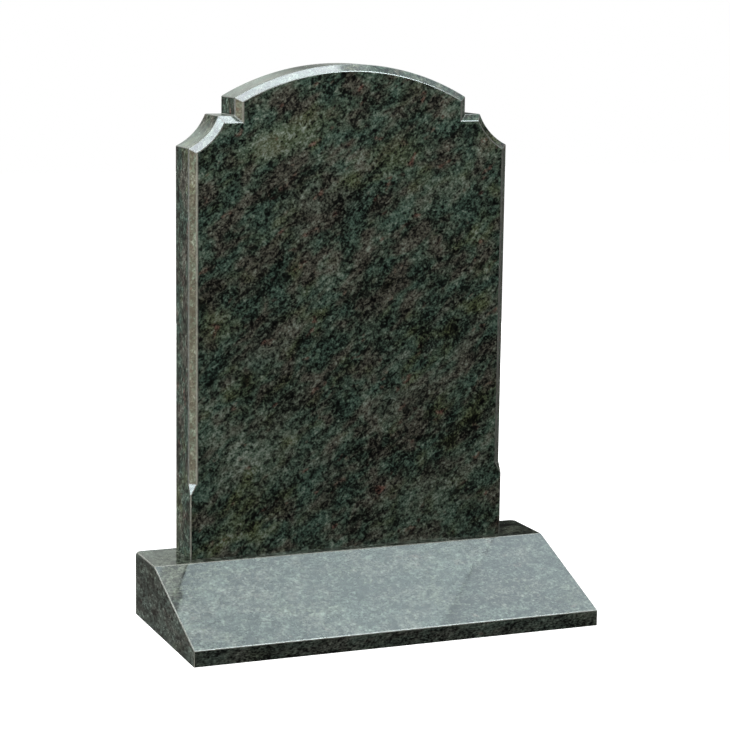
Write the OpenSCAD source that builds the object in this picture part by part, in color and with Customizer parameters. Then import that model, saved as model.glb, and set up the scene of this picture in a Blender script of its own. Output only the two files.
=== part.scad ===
// Headstone: an upright granite tablet standing on a sloping-front base.
// Millimetres. X runs across the width, -Y is the front and Z is up.
// The origin is the middle of the base's underside.

/* [Plate] */
// Width of the plate
plate_w = 533; // [480:1:620]
// Height of the plate from the base to its crown
plate_h = 765; // [600:1:900]
// Thickness of the plate
plate_t = 76; // [50:1:81]
// Width across the arched head, between the two steps
arch_w = 386; // [330:1:410]
// Rise of the arched head above its springing
arch_rise = 51; // [35:1:80]
// Height of the upright step below each end of the arch
step_h = 27; // [15:1:40]
// Width of the flat shoulder outside each step
shoulder_w = 26; // [15:1:30]
// Height that each hollow corner drops below its shoulder
scotia_h = 49; // [40:1:60]
// Radius of each hollow corner
scotia_r = 92; // [80:1:140]

/* [Chamfer] */
// Width of the chamfer round the front edge of the plate
chamfer = 10.5; // [6:0.5:14]
// Height at which the chamfer's stops come to a point
stop_h = 100; // [60:1:200]
// Height of the slanted stop facet
stop_rise = 19; // [10:1:30]

/* [Base] */
// Width of the base
base_w = 663; // [630:1:760]
// Depth of the base, front to back
base_d = 305; // [260:1:360]
// Height of the base at the back
base_h = 102; // [75:1:130]
// Depth of the flat top that carries the plate
base_top_d = 103; // [103:1:130]
// Height of the upright nosing below the front slope
nosing_h = 25; // [15:1:40]
// Distance from the top of the slope back to the plate's front face
plate_setback = 22; // [0:1:27]

/* [Hidden] */
$fn = 240;
// how far a cutter runs past the surface that it cuts
eps = 1;
stone_green = "#46514a";
stone_pale = "#5c6862";

// heights above the foot of the plate
spring_z = plate_h - arch_rise;
shoulder_z = spring_z - step_h;

// the arched head is a segment of one circle
arch_r = (pow(arch_w / 2, 2) + pow(arch_rise, 2)) / (2 * arch_rise);

// each hollow corner is one arc from the end of its shoulder to the side of the plate
scotia_w = (plate_w - arch_w) / 2 - shoulder_w;
scotia_chord = norm([scotia_w, scotia_h]);
scotia_sagitta_arm = sqrt(pow(scotia_r, 2) - pow(scotia_chord / 2, 2));
scotia_x = plate_w / 2 - scotia_w / 2 + scotia_sagitta_arm * scotia_h / scotia_chord;
scotia_z = shoulder_z - scotia_h / 2 + scotia_sagitta_arm * scotia_w / scotia_chord;

// how far the arched head runs down into the body, so that the two are one solid
head_overlap = 3 * chamfer;

// length of the cutter that goes square across an upright front edge
edge_cut_length = 4 * chamfer;

// places of the plate's front face and of the base's edges, front to back
base_back_y = base_d / 2;
slope_top_y = base_back_y - base_top_d;
plate_front_y = slope_top_y + plate_setback;

// Turns a ring-shaped solid so that its axis runs front to back
module about_y(x, z) {
    translate([x, 0, z])
        rotate([-90, 0, 0])
            rotate_extrude()
                children();
}

// Upright block whose two front edges are chamfered over its full height
module chamfered_block(w, bottom_z, top_z) {
    translate([0, 0, bottom_z])
        linear_extrude(height = top_z - bottom_z)
            polygon([
                [-w / 2, plate_t],
                [-w / 2, chamfer],
                [-w / 2 + chamfer, 0],
                [w / 2 - chamfer, 0],
                [w / 2, chamfer],
                [w / 2, plate_t]
            ]);
}

// Disc that carries the arch, with the chamfer turned on its front edge
module arch_disc() {
    about_y(0, plate_h - arch_r)
        polygon([
            [0, 0],
            [arch_r - chamfer, 0],
            [arch_r, chamfer],
            [arch_r, plate_t],
            [0, plate_t]
        ]);
}

// Arched head with the two upright steps, run down into the body
module arch_head() {
    intersection() {
        chamfered_block(arch_w, shoulder_z - head_overlap, plate_h + eps);
        arch_disc();
    }
}

// What is cut away at a hollow corner, opening towards the front for the chamfer
module scotia_cutter() {
    about_y(scotia_x, scotia_z)
        polygon([
            [0, -eps],
            [scotia_r + chamfer + eps, -eps],
            [scotia_r, chamfer],
            [scotia_r, plate_t + eps],
            [0, plate_t + eps]
        ]);
}

// What is cut away along an upright front edge, down to its slanted stop
module edge_cutter() {
    depth = chamfer / sqrt(2);
    translate([-plate_w / 2, 0, 0])
        rotate([0, 0, 45])
            rotate([90, 0, 0])
                linear_extrude(height = edge_cut_length, center = true)
                    polygon([
                        [-depth, stop_h - stop_rise],
                        [depth, stop_h + stop_rise],
                        [depth, plate_h],
                        [-depth, plate_h]
                    ]);
}

// What is cut away along the front of the shoulders
module shoulder_cutter() {
    translate([0, 0, shoulder_z])
        rotate([90, 0, 90])
            linear_extrude(height = plate_w + 2 * eps, center = true)
                polygon([
                    [-eps, eps],
                    [-eps, -chamfer - eps],
                    [chamfer + eps, eps]
                ]);
}

// Rectangular body of the plate below the shoulders, with its chamfer and hollow corners
module plate_body() {
    difference() {
        translate([-plate_w / 2, 0, 0])
            cube([plate_w, plate_t, shoulder_z]);
        shoulder_cutter();
        for (side = [0, 1])
            mirror([side, 0, 0]) {
                edge_cutter();
                scotia_cutter();
            }
    }
}

// Upright tablet, one stone
module plate() {
    color(stone_green)
        translate([0, plate_front_y, base_h])
            union() {
                plate_body();
                arch_head();
            }
}

// Base, one stone: flat top at the back, sloping front and a low upright nosing
module base() {
    color(stone_pale)
        rotate([90, 0, 90])
            linear_extrude(height = base_w, center = true)
                polygon([
                    [-base_d / 2, 0],
                    [base_back_y, 0],
                    [base_back_y, base_h],
                    [slope_top_y, base_h],
                    [-base_d / 2, nosing_h]
                ]);
}

plate();
base();
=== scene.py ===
"""A polished dark green granite headstone: an upright plate on a base with a sloping front.

Metres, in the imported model's frame: +X is right, -Y is the front and +Z is up. Each stone stands for
one CAD node. Sizes that the nodes' boxes don't give are named below.
"""

import math

import bmesh
import bpy
from mathutils import Matrix, Vector

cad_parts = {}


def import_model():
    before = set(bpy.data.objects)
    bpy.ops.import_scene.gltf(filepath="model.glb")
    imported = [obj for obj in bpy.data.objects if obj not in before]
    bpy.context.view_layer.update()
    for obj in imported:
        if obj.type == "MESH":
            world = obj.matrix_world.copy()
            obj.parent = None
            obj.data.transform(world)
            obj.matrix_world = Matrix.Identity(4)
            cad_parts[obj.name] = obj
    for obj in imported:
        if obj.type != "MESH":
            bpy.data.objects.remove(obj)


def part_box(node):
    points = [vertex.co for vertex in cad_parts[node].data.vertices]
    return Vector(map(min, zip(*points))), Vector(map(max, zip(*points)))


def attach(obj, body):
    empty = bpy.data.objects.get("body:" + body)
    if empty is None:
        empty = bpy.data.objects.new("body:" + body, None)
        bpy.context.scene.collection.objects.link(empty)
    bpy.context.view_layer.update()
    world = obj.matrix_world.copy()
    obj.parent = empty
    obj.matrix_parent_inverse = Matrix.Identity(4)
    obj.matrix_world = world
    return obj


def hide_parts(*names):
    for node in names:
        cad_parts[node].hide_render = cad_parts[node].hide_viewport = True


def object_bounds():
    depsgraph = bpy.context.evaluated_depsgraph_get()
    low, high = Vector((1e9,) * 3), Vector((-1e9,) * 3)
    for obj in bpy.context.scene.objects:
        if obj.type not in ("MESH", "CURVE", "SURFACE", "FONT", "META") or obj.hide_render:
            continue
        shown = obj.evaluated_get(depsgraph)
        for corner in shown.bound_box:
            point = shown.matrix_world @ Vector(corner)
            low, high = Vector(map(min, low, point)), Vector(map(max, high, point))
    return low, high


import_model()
cad_low, cad_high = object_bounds()

# Plate, in the terms of the CAD source
ARCH_WIDTH = 0.386
ARCH_RISE = 0.051
STEP_HEIGHT = 0.027
SHOULDER_WIDTH = 0.026
SCOTIA_HEIGHT = 0.049
SCOTIA_RADIUS = 0.092
CHAMFER = 0.0105
STOP_HEIGHT = 0.100
STOP_RISE = 0.019
ARCH_STEPS = 48
SCOTIA_STEPS = 20

# Base
BASE_TOP_DEPTH = 0.103
NOSING_HEIGHT = 0.025
WORN_CORNER = 0.006

# Arrises: an edge gets one if it turns more than the sharp angle. It counts as upright if it rises by more
# than this share of its length, and as lying underneath if it is this close to the lowest point. The
# arrises' stone, paler with a painted highlight, is the second of a mesh's materials.
SHARP_ANGLE = math.radians(20)
UPRIGHT_SHARE = 0.99
UNDERNEATH = 1e-4
ARRIS_SEGMENTS = 2
ARRIS_HIGHLIGHT_SLOT = 1

# Polish
STONE_IOR = 1.55
SMOOTHEST = 0.07
ROUGHEST = 0.22
HONED_ROUGHNESS = 0.28

# Camera: what it looks at, how far off it is, its angles, and its lens and sensor in millimetres
CAMERA_TARGET = (0.0276, 0.0831, 0.3929)
CAMERA_DISTANCE = 3.4584
CAMERA_HEADING = math.radians(22.197)
CAMERA_DROP = math.radians(9.355)
CAMERA_ROLL = math.radians(0.763)
CAMERA_LENS = 107.245
CAMERA_SENSOR = 36.0

WHITE = (1, 1, 1, 1)


# ---------------------------------------------------------------- meshes


def arc(centre, radius, start, end, steps):
    """Points (x, z) on a circle, from the angle start to the angle end, both ends included."""
    points = []
    for i in range(steps + 1):
        angle = start + (end - start) * i / steps
        points.append((centre[0] + radius * math.cos(angle), centre[1] + radius * math.sin(angle)))
    return points


def angle_of(point, centre):
    """Angle of a point round a centre, from 0 to a full turn."""
    return math.atan2(point[1] - centre[1], point[0] - centre[0]) % (2 * math.pi)


def circle_drop(radius, along):
    """How far a circle reaches to one side, at the distance along from its centre."""
    return math.sqrt(radius ** 2 - along ** 2)


def right_outline(half_width, height, inset):
    """Right half of the plate's outline, from the foot of the hollow corner to the crown.

    Points are (x, z) above the plate's foot, drawn in by inset on every side.
    """
    spring_z = height - ARCH_RISE
    shoulder_z = spring_z - STEP_HEIGHT
    arch_radius = ((ARCH_WIDTH / 2) ** 2 + ARCH_RISE ** 2) / (2 * ARCH_RISE)
    arch_centre = (0.0, height - arch_radius)

    scotia_width = half_width - ARCH_WIDTH / 2 - SHOULDER_WIDTH
    chord = math.hypot(scotia_width, SCOTIA_HEIGHT)
    arm = circle_drop(SCOTIA_RADIUS, chord / 2)
    scotia_centre = (
        half_width - scotia_width / 2 + arm * SCOTIA_HEIGHT / chord,
        shoulder_z - SCOTIA_HEIGHT / 2 + arm * scotia_width / chord,
    )
    scotia_radius = SCOTIA_RADIUS + inset

    side_x = half_width - inset
    ledge_z = shoulder_z - inset
    step_x = ARCH_WIDTH / 2 - inset
    foot = (side_x, scotia_centre[1] - circle_drop(scotia_radius, scotia_centre[0] - side_x))
    lip = (scotia_centre[0] - circle_drop(scotia_radius, scotia_centre[1] - ledge_z), ledge_z)
    head_radius = arch_radius - inset
    spring = (step_x, arch_centre[1] + circle_drop(head_radius, step_x))

    points = arc(
        scotia_centre,
        scotia_radius,
        angle_of(foot, scotia_centre),
        angle_of(lip, scotia_centre),
        SCOTIA_STEPS,
    )
    points.append((step_x, ledge_z))
    points += arc(arch_centre, head_radius, angle_of(spring, arch_centre), math.pi / 2, ARCH_STEPS)
    return points


def whole_outline(half_width, height, inset):
    """The outline over the plate's head, from the right hollow corner to the left one."""
    right = right_outline(half_width, height, inset)
    left = [(-x, z) for x, z in reversed(right[:-1])]
    return right + left


def plate_mesh():
    """The plate as a closed mesh: two rings round the head, one at the face and one behind the chamfer."""
    low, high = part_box("plate")
    half_width = (high.x - low.x) / 2
    height = high.z - low.z
    front_y = low.y
    chamfer_y = low.y + CHAMFER
    back_y = high.y
    stop_top = STOP_HEIGHT + STOP_RISE
    mesh = bmesh.new()

    def vert(x, y, z):
        return mesh.verts.new((x, y, low.z + z))

    def ring(inset, y):
        return [vert(x, y, z) for x, z in whole_outline(half_width, height, inset)]

    inner = ring(CHAMFER, front_y)
    outer = ring(0.0, chamfer_y)
    back = ring(0.0, back_y)
    for near, far in ((inner, outer), (outer, back)):
        for i in range(len(near) - 1):
            mesh.faces.new((near[i], near[i + 1], far[i + 1], far[i]))

    feet = {}
    for side, end in ((1, 0), (-1, -1)):
        front_foot = vert(side * half_width, front_y, 0)
        back_foot = vert(side * half_width, back_y, 0)
        stop_point = vert(side * half_width, front_y, STOP_HEIGHT)
        stop_inner = vert(side * (half_width - CHAMFER), front_y, stop_top)
        stop_outer = vert(side * half_width, chamfer_y, stop_top)
        mesh.faces.new((stop_point, stop_inner, stop_outer))
        mesh.faces.new((stop_inner, inner[end], outer[end], stop_outer))
        mesh.faces.new((front_foot, stop_point, stop_outer, outer[end], back[end], back_foot))
        feet[side] = (front_foot, back_foot, stop_point, stop_inner)

    right_front, right_back, right_point, right_inner = feet[1]
    left_front, left_back, left_point, left_inner = feet[-1]
    mesh.faces.new([left_front, right_front, right_point, right_inner] + inner + [left_inner, left_point])
    mesh.faces.new([right_back, left_back] + list(reversed(back)))
    mesh.faces.new((left_front, left_back, right_back, right_front))
    return mesh


def base_mesh():
    """The base as a closed mesh: its side profile run across its width, with worn back corners."""
    low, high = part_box("base")
    slope_top_y = high.y - BASE_TOP_DEPTH
    profile = [
        (low.y, low.z),
        (high.y, low.z),
        (high.y, high.z),
        (slope_top_y, high.z),
        (low.y, low.z + NOSING_HEIGHT),
    ]
    mesh = bmesh.new()
    left = [mesh.verts.new((low.x, y, z)) for y, z in profile]
    right = [mesh.verts.new((high.x, y, z)) for y, z in profile]
    for i in range(len(profile)):
        j = (i + 1) % len(profile)
        mesh.faces.new((left[i], left[j], right[j], right[i]))
    mesh.faces.new(left)
    mesh.faces.new(right)
    back_top = profile.index((high.y, high.z))
    bmesh.ops.bevel(mesh, geom=[left[back_top], right[back_top]], offset=WORN_CORNER, affect="VERTICES")
    return mesh


def mark_arrises(mesh, level_arris, upright_arris):
    """Weights the sharp edges by the width of their arris, level and upright. Those underneath get none."""
    weights = mesh.edges.layers.float.new("bevel_weight_edge")
    lowest = min(vert.co.z for vert in mesh.verts)
    for edge in mesh.edges:
        sharp = edge.calc_face_angle() > SHARP_ANGLE
        under = all(vert.co.z < lowest + UNDERNEATH for vert in edge.verts)
        first, last = (vert.co for vert in edge.verts)
        upright = abs(last.z - first.z) > UPRIGHT_SHARE * (last - first).length
        width = upright_arris if upright else level_arris
        edge[weights] = width / max(level_arris, upright_arris) if sharp and not under else 0.0
        edge.smooth = not (sharp and under)


def stone(name, mesh, node, slot, recipe):
    """Makes a stone from its mesh: polished faces, painted highlight on the arrises, riding on the one
    body.
    """
    bmesh.ops.recalc_face_normals(mesh, faces=mesh.faces)
    mark_arrises(mesh, recipe["level_arris"], recipe["upright_arris"])
    data = bpy.data.meshes.new(name)
    mesh.to_mesh(data)
    mesh.free()
    for face in data.polygons:
        face.use_smooth = True
    data.materials.append(granite(slot, node, recipe))
    # The second material, on the arrises, carries a painted highlight
    data.materials.append(arris_granite_with_painted_highlight(node + "_arris", recipe))
    piece = bpy.data.objects.new(name, data)
    bpy.context.scene.collection.objects.link(piece)
    bevel = piece.modifiers.new("arris", "BEVEL")
    bevel.width = max(recipe["level_arris"], recipe["upright_arris"])
    bevel.segments = ARRIS_SEGMENTS
    bevel.limit_method = "WEIGHT"
    # The arris faces take the material with the painted highlight
    bevel.material = ARRIS_HIGHLIGHT_SLOT
    bevel.harden_normals = True
    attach(piece, "root")
    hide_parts(node)


# ---------------------------------------------------------------- granite


def add_node(tree, kind, inputs=None, **settings):
    """Adds a node, sets its attributes, and links or sets its inputs by name or number."""
    made = tree.nodes.new(kind)
    for name, value in settings.items():
        setattr(made, name, value)
    for name, value in (inputs or {}).items():
        if isinstance(value, bpy.types.NodeSocket):
            tree.links.new(value, made.inputs[name])
        else:
            made.inputs[name].default_value = value
    return made


def math_node(tree, operation, first, second):
    """One arithmetic step."""
    return add_node(tree, "ShaderNodeMath", {0: first, 1: second}, operation=operation).outputs[0]


def noise(tree, place, size, detail, roughness, distortion=0.0):
    """Cloudy noise from 0 to 1 whose largest spots are about size across."""
    inputs = {
        "Vector": place,
        "Scale": 1 / size,
        "Detail": detail,
        "Roughness": roughness,
        "Distortion": distortion,
    }
    return add_node(tree, "ShaderNodeTexNoise", inputs).outputs["Fac"]


def ramp(tree, value, low, high):
    """0 below low, 1 above high and smooth between them."""
    inputs = {"Value": value, "From Min": low, "From Max": high, "To Min": 0.0, "To Max": 1.0}
    return add_node(tree, "ShaderNodeMapRange", inputs, interpolation_type="SMOOTHSTEP").outputs[0]


def mix_colour(tree, amount, first, second):
    """Blend of two colours. In this node the colours are sockets 6 and 7, and the result is socket 2."""
    made = add_node(tree, "ShaderNodeMix", data_type="RGBA")
    for socket, value in ((made.inputs[0], amount), (made.inputs[6], first), (made.inputs[7], second)):
        if isinstance(value, bpy.types.NodeSocket):
            tree.links.new(value, socket)
        else:
            socket.default_value = value
    return made.outputs[2]


def scaled(tree, colour, amount):
    """A colour made brighter or darker by a value."""
    made = add_node(tree, "ShaderNodeVectorMath", {0: colour}, operation="SCALE")
    tree.links.new(amount, made.inputs["Scale"])
    return made.outputs[0]


def add_scaled(tree, total, value, amount):
    """total + value * amount."""
    inputs = {0: value, 1: amount, 2: total}
    return add_node(tree, "ShaderNodeMath", inputs, operation="MULTIPLY_ADD").outputs[0]


# Tints of about equal brightness
GREY_GREEN = (0.77, 1.07, 0.77, 1)
TEAL = (0.65, 1.11, 0.84, 1)
BROWN_GREY = (1.01, 1.00, 0.78, 1)
OLIVE = (0.89, 1.09, 0.54, 1)
RUST = (1.58, 0.85, 0.66, 1)
PALE = (0.88, 1.04, 0.86, 1)
EVEN_GREEN = (0.87, 1.02, 0.88, 1)

# Noise in the stone: size of its largest spots, detail, roughness and distortion
CLOUDING = (0.10, 2.0, 0.8)
PATCHES = (0.032, 3.0, 0.95, 0.4)
CRYSTALS = (0.0075, 2.0, 1.0)
FINE_GRAIN = (0.0028, 0.0, 0.5)
SPECKS = (0.0085, 1.5, 0.7, 0.3)
FLECKS = (0.0045, 0.0, 0.5)
HUES = (0.036, 2.0, 0.7, 0.3)
OLIVE_PATCHES = (0.060, 2.0, 0.8)
RUST_SPOTS = (0.022, 2.0, 0.8)
FACETS = (0.005, 1.0, 0.6)
ARRIS_MOTTLE = (0.006, 2.0, 0.8)

# Values between which a feature or a tint sets in
GROUND_SPAN = (0.54, 0.63)
FLECK_SPAN = (0.70, 0.80)
GREY_GREEN_SPAN = (0.36, 0.54)
BROWN_GREY_SPAN = (0.48, 0.62)
OLIVE_SPAN = (0.52, 0.72)
RUST_SPAN = (0.60, 0.76)
PALE_SPAN = (1.6, 5.0)

# Tone: how far the patches gather the specks, the ground between specks, the flecks and the darkest tone
SPECK_GATHERING = 0.45
GROUND_TONE = 1.03
FLECK_TONE = 0.22
DARKEST = 0.12

# Ovals of clouding and of painted light and shade: how deep they reach, how much of their reach they
# fade over, and how strongly they tint
OVAL_DEPTH = 0.12
OVAL_FADE = 0.9
OVAL_TINTING = 0.7

# Warm tint of the arrises' painted highlight
ARRIS_HIGHLIGHT_TINT = (0.98, 1.01, 0.90)

# What a stone is like:
# - level_arris and upright_arris: width of the arris on its level or sloping edges and on its upright ones
# - offset: where it lies in the noise
# - clouding, grain, crystals: how its clouding, patches and crystals rise to the right, and how far they
#   are drawn out across, in depth and upward
# - albedo: how much light it returns where its tone is 1
# - contrast: how strongly its clouding, patches, crystals and fine grain show
# - speck: how dark its specks are
# - power: how far its tones spread
# - variety: how much its colour varies
# - the arrises' albedo: brightness of their painted highlight, about halved by their mottle
# - the ovals, of clouding and of painted light and shade: x, depth behind the front, height above the foot,
#   half length, half width, brightness and tint
PLATE_STONE = {
    "level_arris": 0.0011,
    "upright_arris": 0.0021,
    "offset": (1.3, 0.4, 0.2),
    "clouding": (math.radians(24), (1.9, 1.0, 1.0)),
    "grain": (math.radians(39), (1.9, 1.0, 1.0)),
    "crystals": (math.radians(39), (1.25, 1.0, 1.0)),
    "albedo": 0.0376,
    "contrast": (0.8, 2.5, 3.0, 1.3),
    "speck": 0.45,
    "power": 2.2,
    "variety": 1.0,
    "arris_highlight_albedo": 0.20,
    "clouding_and_painted_light": (
        (-0.110, 0.0, 0.655, 0.140, 0.038, 0.32, OLIVE),
        (0.070, 0.0, 0.625, 0.070, 0.045, 0.15, OLIVE),
        (-0.060, 0.0, 0.550, 0.110, 0.060, 0.02, BROWN_GREY),
        (0.160, 0.0, 0.570, 0.090, 0.038, 0.12, GREY_GREEN),
        (0.140, 0.0, 0.330, 0.140, 0.065, -0.10, TEAL),
        (-0.225, 0.0, 0.365, 0.050, 0.040, 0.22, OLIVE),
        (-0.130, 0.0, 0.340, 0.090, 0.045, 0.14, BROWN_GREY),
        (0.030, 0.0, 0.350, 0.060, 0.050, 0.07, GREY_GREEN),
        # Partly clouding, partly painted light: these lower ovals brighten the plate's lower half, where
        # the key light is weaker.
        (-0.115, 0.0, 0.235, 0.070, 0.040, 0.20, GREY_GREEN),
        (0.110, 0.0, 0.240, 0.100, 0.040, 0.22, BROWN_GREY),
        (-0.080, 0.0, 0.115, 0.080, 0.050, 0.06, TEAL),
        (-0.150, 0.0, 0.160, 0.130, 0.090, 0.42, GREY_GREEN),
        (0.140, 0.0, 0.070, 0.160, 0.070, 0.31, GREY_GREEN),
    ),
}
BASE_STONE = {
    "level_arris": 0.0017,
    "upright_arris": 0.0010,
    "offset": (4.1, 2.2, 0.7),
    "clouding": (math.radians(8), (1.7, 1.7, 0.8)),
    "grain": (math.radians(8), (1.7, 1.7, 0.8)),
    "crystals": (math.radians(8), (1.5, 1.6, 0.8)),
    "albedo": 0.0395,
    "contrast": (0.7, 2.9, 4.1, 1.5),
    "speck": 0.55,
    "power": 1.6,
    "variety": 0.35,
    "arris_highlight_albedo": 0.30,
    "clouding_and_painted_light": (
        # Painted shadow and light: the first oval darkens the base's top right, where the plate's shadow
        # falls; the second brightens its top left as painted light; the third makes the slope's top left a
        # little darker.
        (0.310, 0.270, 0.102, 0.130, 0.120, -0.40, OLIVE),
        (-0.300, 0.280, 0.102, 0.060, 0.080, 0.12, GREY_GREEN),
        (-0.290, 0.190, 0.090, 0.060, 0.060, -0.06, OLIVE),
    ),
}


def in_stone(tree, offset, grain):
    """Place inside the stone, measured along a grain that rises to the right and is drawn out."""
    angle, stretch = grain
    place = add_node(tree, "ShaderNodeTexCoord").outputs["Object"]
    inputs = {"Vector": place, "Location": offset, "Rotation": (0.0, -angle, 0.0), "Scale": stretch}
    return add_node(tree, "ShaderNodeMapping", inputs, vector_type="TEXTURE").outputs[0]


def soft_oval(tree, node, angle, place, half_length, half_width):
    """A soft oval in a stone: 1 in its middle and 0 at its rim. It lies along the angle."""
    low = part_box(node)[0]
    x, depth, height = place
    stretch = (half_length, OVAL_DEPTH, half_width)
    local = in_stone(tree, (x, low.y + depth, low.z + height), (angle, stretch))
    away = add_node(tree, "ShaderNodeVectorMath", {0: local}, operation="LENGTH").outputs["Value"]
    return ramp(tree, math_node(tree, "SUBTRACT", 1.0, away), 0.0, OVAL_FADE)


def stone_ovals(tree, node, recipe):
    """The ovals of a stone, of clouding and of painted light and shade, each as its shape, brightness and
    tint.
    """
    angle = recipe["clouding"][0]
    clouding_and_painted_light = []
    for x, depth, height, half_length, half_width, brightness, tint in recipe["clouding_and_painted_light"]:
        shape = soft_oval(tree, node, angle, (x, depth, height), half_length, half_width)
        clouding_and_painted_light.append((shape, brightness, tint))
    return clouding_and_painted_light


def granite_tone(tree, recipe, patches, crystals, clouding_and_painted_light):
    """Tone of the stone, 1 in its middle shades, and its ground: 1 between the black specks, 0 in them."""
    patch = noise(tree, patches, *PATCHES)
    fields = (
        noise(tree, in_stone(tree, recipe["offset"], recipe["clouding"]), *CLOUDING),
        patch,
        noise(tree, crystals, *CRYSTALS),
        noise(tree, crystals, *FINE_GRAIN),
    )
    total = 1.0 - sum(recipe["contrast"]) / 2
    for field, amount in zip(fields, recipe["contrast"]):
        total = add_scaled(tree, total, field, amount)
    # Ovals: clouding in the stone, and painted light and shade
    for shape, brightness, _ in clouding_and_painted_light:
        total = add_scaled(tree, total, shape, brightness)
    gathered = add_scaled(tree, noise(tree, crystals, *SPECKS), patch, SPECK_GATHERING)
    ground = ramp(tree, gathered, *GROUND_SPAN)
    speckling = add_scaled(tree, GROUND_TONE - recipe["speck"], ground, recipe["speck"])
    toned = math_node(tree, "MULTIPLY", total, speckling)
    fleck = ramp(tree, noise(tree, crystals, *FLECKS), *FLECK_SPAN)
    toned = add_scaled(tree, toned, fleck, FLECK_TONE * recipe["variety"])
    kept = math_node(tree, "MAXIMUM", toned, DARKEST)
    return math_node(tree, "POWER", kept, recipe["power"]), ground


def granite_tint(tree, recipe, patches, clouding_and_painted_light, tone):
    """Colour: teal, grey and brown patches, tints of the ovals of clouding and painted light, olive and
    rusty spots.
    """
    hue = noise(tree, patches, *HUES)
    colour = mix_colour(tree, ramp(tree, hue, *GREY_GREEN_SPAN), TEAL, GREY_GREEN)
    colour = mix_colour(tree, ramp(tree, hue, *BROWN_GREY_SPAN), colour, BROWN_GREY)
    for shape, _, tint in clouding_and_painted_light:
        colour = mix_colour(tree, math_node(tree, "MULTIPLY", shape, OVAL_TINTING), colour, tint)
    olive = noise(tree, patches, *OLIVE_PATCHES)
    colour = mix_colour(tree, ramp(tree, olive, *OLIVE_SPAN), colour, OLIVE)
    rust = noise(tree, patches, *RUST_SPOTS)
    colour = mix_colour(tree, ramp(tree, rust, *RUST_SPAN), colour, RUST)
    colour = mix_colour(tree, recipe["variety"], EVEN_GREEN, colour)
    return mix_colour(tree, ramp(tree, tone, *PALE_SPAN), colour, PALE)


def empty_material(name):
    """A material whose node tree is empty."""
    material = bpy.data.materials.new(name)
    material.use_nodes = True
    material.node_tree.nodes.clear()
    return material


def stone_surface(tree, colour, roughness):
    """The shader that both materials of a stone end in."""
    inputs = {"Base Color": colour, "Roughness": roughness, "IOR": STONE_IOR}
    shader = add_node(tree, "ShaderNodeBsdfPrincipled", inputs)
    add_node(tree, "ShaderNodeOutputMaterial", {"Surface": shader.outputs[0]})


def granite(name, node, recipe):
    """Polished green granite: crystals differ a little in polish, and the black specks polish least."""
    material = empty_material(name)
    tree = material.node_tree
    patches = in_stone(tree, recipe["offset"], recipe["grain"])
    crystals = in_stone(tree, recipe["offset"], recipe["crystals"])
    clouding_and_painted_light = stone_ovals(tree, node, recipe)
    tone, ground = granite_tone(tree, recipe, patches, crystals, clouding_and_painted_light)
    tint = granite_tint(tree, recipe, patches, clouding_and_painted_light, tone)
    smoothing = -(ROUGHEST - SMOOTHEST) / 2
    rough = add_scaled(tree, ROUGHEST, ground, smoothing)
    rough = add_scaled(tree, rough, noise(tree, crystals, *FACETS), smoothing)
    colour = scaled(tree, tint, math_node(tree, "MULTIPLY", tone, recipe["albedo"]))
    stone_surface(tree, colour, rough)
    return material


def arris_granite_with_painted_highlight(name, recipe):
    """The same stone on an arris: paler and warmer as a painted highlight, more even and only satin."""
    material = empty_material(name)
    tree = material.node_tree
    crystals = in_stone(tree, recipe["offset"], recipe["crystals"])
    # Painted highlight: the arrises' pale, mottled colour stands in for the light they catch
    painted_highlight = math_node(tree, "MULTIPLY", noise(tree, crystals, *ARRIS_MOTTLE), recipe["arris_highlight_albedo"])
    stone_surface(tree, scaled(tree, ARRIS_HIGHLIGHT_TINT, painted_highlight), HONED_ROUGHNESS)
    return material


# ---------------------------------------------------------------- studio


def direction(azimuth, elevation):
    """Unit vector. Azimuth 0 is the front, 90 the right; elevation is above the horizon, in degrees."""
    turn = math.radians(azimuth)
    rise = math.radians(elevation)
    return Vector((math.sin(turn) * math.cos(rise), -math.cos(turn) * math.cos(rise), math.sin(rise)))


def softbox(name, aim, toward, along, distance, span, rise, radiance, colour, polish_only):
    """Rectangular light in a plane square to the way toward, at a distance from aim.

    span holds its two ends in the direction along, and rise its two ends square to that.
    """
    back = toward.normalized()
    side = (along - back * along.dot(back)).normalized()
    over = back.cross(side)
    light = bpy.data.lights.new(name, "AREA")
    light.shape = "RECTANGLE"
    light.size = span[1] - span[0]
    light.size_y = rise[1] - rise[0]
    light.energy = radiance * math.pi * light.size * light.size_y
    light.color = colour
    lamp = bpy.data.objects.new(name, light)
    middle = aim + back * distance + side * sum(span) / 2 + over * sum(rise) / 2
    lamp.matrix_world = Matrix.Translation(middle) @ Matrix((side, over, back)).transposed().to_4x4()
    lamp.visible_camera = False
    lamp.visible_diffuse = not polish_only
    lamp.visible_glossy = polish_only
    bpy.context.scene.collection.objects.link(lamp)


# Soft spots that the polished faces mirror: azimuth, elevation, the radius of the even middle, the radius
# where the spot ends, all in degrees, and colour
MIRRORED = {
    "behind": (176, 17, 4, 19, (0.90, 0.98, 0.91)),
    "low_behind": (164, 1, 4, 9, (0.50, 0.53, 0.50)),
    "behind_left": (-162, -8, 12, 24, (0.075, 0.07, 0.06)),
    "high_behind_left": (-152, 53, 8, 16, (9.0, 10.0, 9.6)),
    "above_behind": (134, 52, 5, 34, (2.68, 3.2, 3.36)),
    "low_left": (-72, -7, 7, 14, (2.50, 2.25, 1.60)),
    "left": (-75, 27, 4, 14, (2.2, 2.9, 3.1)),
    "low_front_left": (-28, -8, 6, 20, (6.2, 5.8, 4.3)),
    "front": (33, 31, 5, 14, (8.0, 8.7, 8.7)),
    "right": (116, -8, 12, 30, (0.20, 0.20, 0.18)),
}

# What the polish mirrors elsewhere, and the even light that falls on the stone's own colour
MIRRORED_DARK = 0.03
AMBIENT = 0.16

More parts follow.
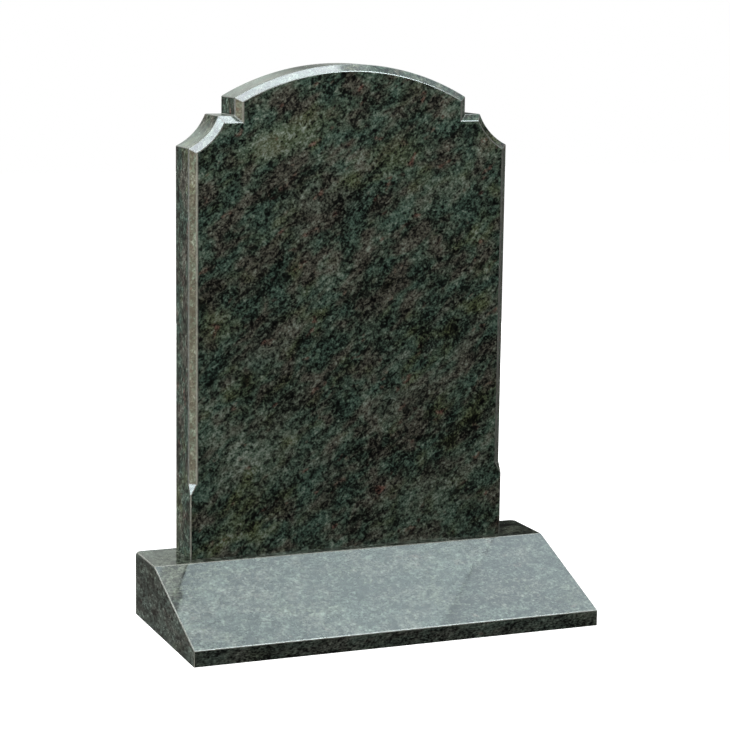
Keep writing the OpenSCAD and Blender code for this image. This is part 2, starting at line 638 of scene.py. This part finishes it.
# Lamps that the polish doesn't mirror: the way toward each, its strength and its colour
LAMPS = {
    "key": ((-0.22, -0.45, 0.865), 1.42, (1.0, 0.99, 0.97)),
    "left_fill": ((-0.95, 0.15, 0.27), 1.25, (0.98, 0.99, 1.04)),
    "right_fill": ((0.93, -0.10, 0.35), 0.20, (0.97, 0.99, 1.0)),
    "back_fill": ((0.25, 0.96, 0.12), 0.60, (1.0, 1.0, 1.0)),
}
LAMP_DISTANCE = 3.2
LAMP_HALF_SIZE = 0.8

# Panels that only the polish mirrors: the overhead ones lie above a point on the plate's head, and the
# slope's panel before a point low on the plate. The lengths of all three run the same way, to the right.
OVERHEAD_WAY = Vector((-0.283, -0.219, 0.934))
SLOPE_WAY = Vector((0.350, -0.495, 0.795))
ALONG_PANELS = Vector((0.919, 0.218, 0.330))
HEAD_X = -0.05
HEAD_BELOW_CROWN = 0.067
FOOT_HEIGHT = 0.15

# Floor: how far it reaches, its grey, and its glow, which grows over a span of distance from the object
FLOOR_REACH = 9.0
FLOOR_GREY = (0.5, 0.5, 0.5, 1)
FLOOR_ROUGHNESS = 0.9
FLOOR_GLOW = {"From Min": 0.4, "From Max": 1.8, "To Min": 0.80, "To Max": 1.05}


def world():
    """White to the camera, soft spots of light to the polish, and an even dim light to the rest."""
    made = bpy.data.worlds.new("studio")
    bpy.context.scene.world = made
    made.use_nodes = True
    made.cycles.sampling_method = "NONE"
    tree = made.node_tree
    tree.nodes.clear()
    around = add_node(tree, "ShaderNodeTexCoord").outputs["Generated"]
    total = (MIRRORED_DARK, MIRRORED_DARK, MIRRORED_DARK)
    for azimuth, elevation, inner, outer, colour in MIRRORED.values():
        dot = add_node(
            tree,
            "ShaderNodeVectorMath",
            {0: around, 1: direction(azimuth, elevation)},
            operation="DOT_PRODUCT",
        ).outputs["Value"]
        amount = ramp(tree, dot, math.cos(math.radians(outer)), math.cos(math.radians(inner)))
        panel = scaled(tree, colour, amount)
        total = add_node(tree, "ShaderNodeVectorMath", {0: panel, 1: total}, operation="ADD").outputs[0]
    path = add_node(tree, "ShaderNodeLightPath").outputs
    ambient = (AMBIENT, AMBIENT, AMBIENT, 1)
    colour = mix_colour(tree, path["Is Diffuse Ray"], total, ambient)
    colour = mix_colour(tree, path["Is Camera Ray"], colour, WHITE)
    shader = add_node(tree, "ShaderNodeBackground", {"Color": colour})
    add_node(tree, "ShaderNodeOutputWorld", {"Surface": shader.outputs[0]})


def lights():
    """A key and three fills for the colour of the stone, and three panels that only the polish mirrors."""
    middle = (cad_low + cad_high) / 2
    ends = (-LAMP_HALF_SIZE, LAMP_HALF_SIZE)
    for name, (way, strength, colour) in LAMPS.items():
        toward = Vector(way)
        level = Vector((toward.y, -toward.x, 0))
        radiance = strength * math.pi * (LAMP_DISTANCE / (2 * LAMP_HALF_SIZE)) ** 2
        softbox(name, middle, toward, level, LAMP_DISTANCE, ends, ends, radiance, colour, False)

    low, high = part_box("plate")
    head = Vector((HEAD_X, low.y, high.z - HEAD_BELOW_CROWN))
    foot = Vector((0.0, low.y, low.z + FOOT_HEIGHT))
    # name, aim, way toward, distance, ends along and across, radiance and colour
    panels = (
        ("overhead", head, OVERHEAD_WAY, 3.0, (-5.6, 2.15), (-0.5, 0.6), 13.0, (0.87, 0.95, 1.0)),
        ("overhead_end", head, OVERHEAD_WAY, 3.0, (2.15, 3.05), (0.0, 0.6), 5.0, (0.90, 1.0, 1.0)),
        ("slope_panel", foot, SLOPE_WAY, 2.4, (-0.65, 0.65), (-0.4, 0.4), 37.4, (0.795, 0.960, 0.99)),
    )
    for name, aim, toward, distance, span, rise, radiance, colour in panels:
        softbox(name, aim, toward, ALONG_PANELS, distance, span, rise, radiance, colour, True)


def floor():
    """Pale floor that only the camera sees. It takes soft shadows, and glows into the white further off."""
    data = bpy.data.meshes.new("floor")
    reach = FLOOR_REACH
    corners = [(-reach, -reach, 0), (reach, -reach, 0), (reach, reach, 0), (-reach, reach, 0)]
    data.from_pydata(corners, [], [(0, 1, 2, 3)])
    made = bpy.data.objects.new("floor", data)
    made.location.z = cad_low.z
    bpy.context.scene.collection.objects.link(made)
    material = bpy.data.materials.new("pale_floor")
    material.use_nodes = True
    tree = material.node_tree
    shader = tree.nodes["Principled BSDF"]
    shader.inputs["Base Color"].default_value = FLOOR_GREY
    shader.inputs["Roughness"].default_value = FLOOR_ROUGHNESS
    shader.inputs["Specular IOR Level"].default_value = 0.0
    shader.inputs["Emission Color"].default_value = WHITE
    away = add_node(tree, "ShaderNodeTexCoord").outputs["Object"]
    distance = add_node(tree, "ShaderNodeVectorMath", {0: away}, operation="LENGTH").outputs["Value"]
    glow = add_node(tree, "ShaderNodeMapRange", {"Value": distance, **FLOOR_GLOW}).outputs[0]
    tree.links.new(glow, shader.inputs["Emission Strength"])
    data.materials.append(material)
    made.visible_diffuse = False
    made.visible_glossy = False
    made.visible_shadow = False


def camera():
    """Camera at the object's front left, a little above it."""
    heading = Vector((math.sin(CAMERA_HEADING), math.cos(CAMERA_HEADING), 0))
    forward = heading * math.cos(CAMERA_DROP) + Vector((0, 0, -math.sin(CAMERA_DROP)))
    level = Vector((heading.y, -heading.x, 0))
    above = level.cross(forward)
    right = level * math.cos(CAMERA_ROLL) + above * math.sin(CAMERA_ROLL)
    up = right.cross(forward)
    turn = Matrix((right, up, -forward)).transposed().to_4x4()
    place = Vector(CAMERA_TARGET) - forward * CAMERA_DISTANCE
    made = bpy.data.objects.new("camera", bpy.data.cameras.new("camera"))
    made.data.lens = CAMERA_LENS
    made.data.sensor_width = CAMERA_SENSOR
    made.matrix_world = Matrix.Translation(place) @ turn
    bpy.context.scene.collection.objects.link(made)
    bpy.context.scene.camera = made


stone("headstone_plate", plate_mesh(), "plate", "plate_granite", PLATE_STONE)
stone("headstone_base", base_mesh(), "base", "base_granite", BASE_STONE)
floor()
world()
lights()
camera()
bpy.context.scene.view_settings.view_transform = "Standard"
bpy.context.scene.cycles.min_light_bounces = 4
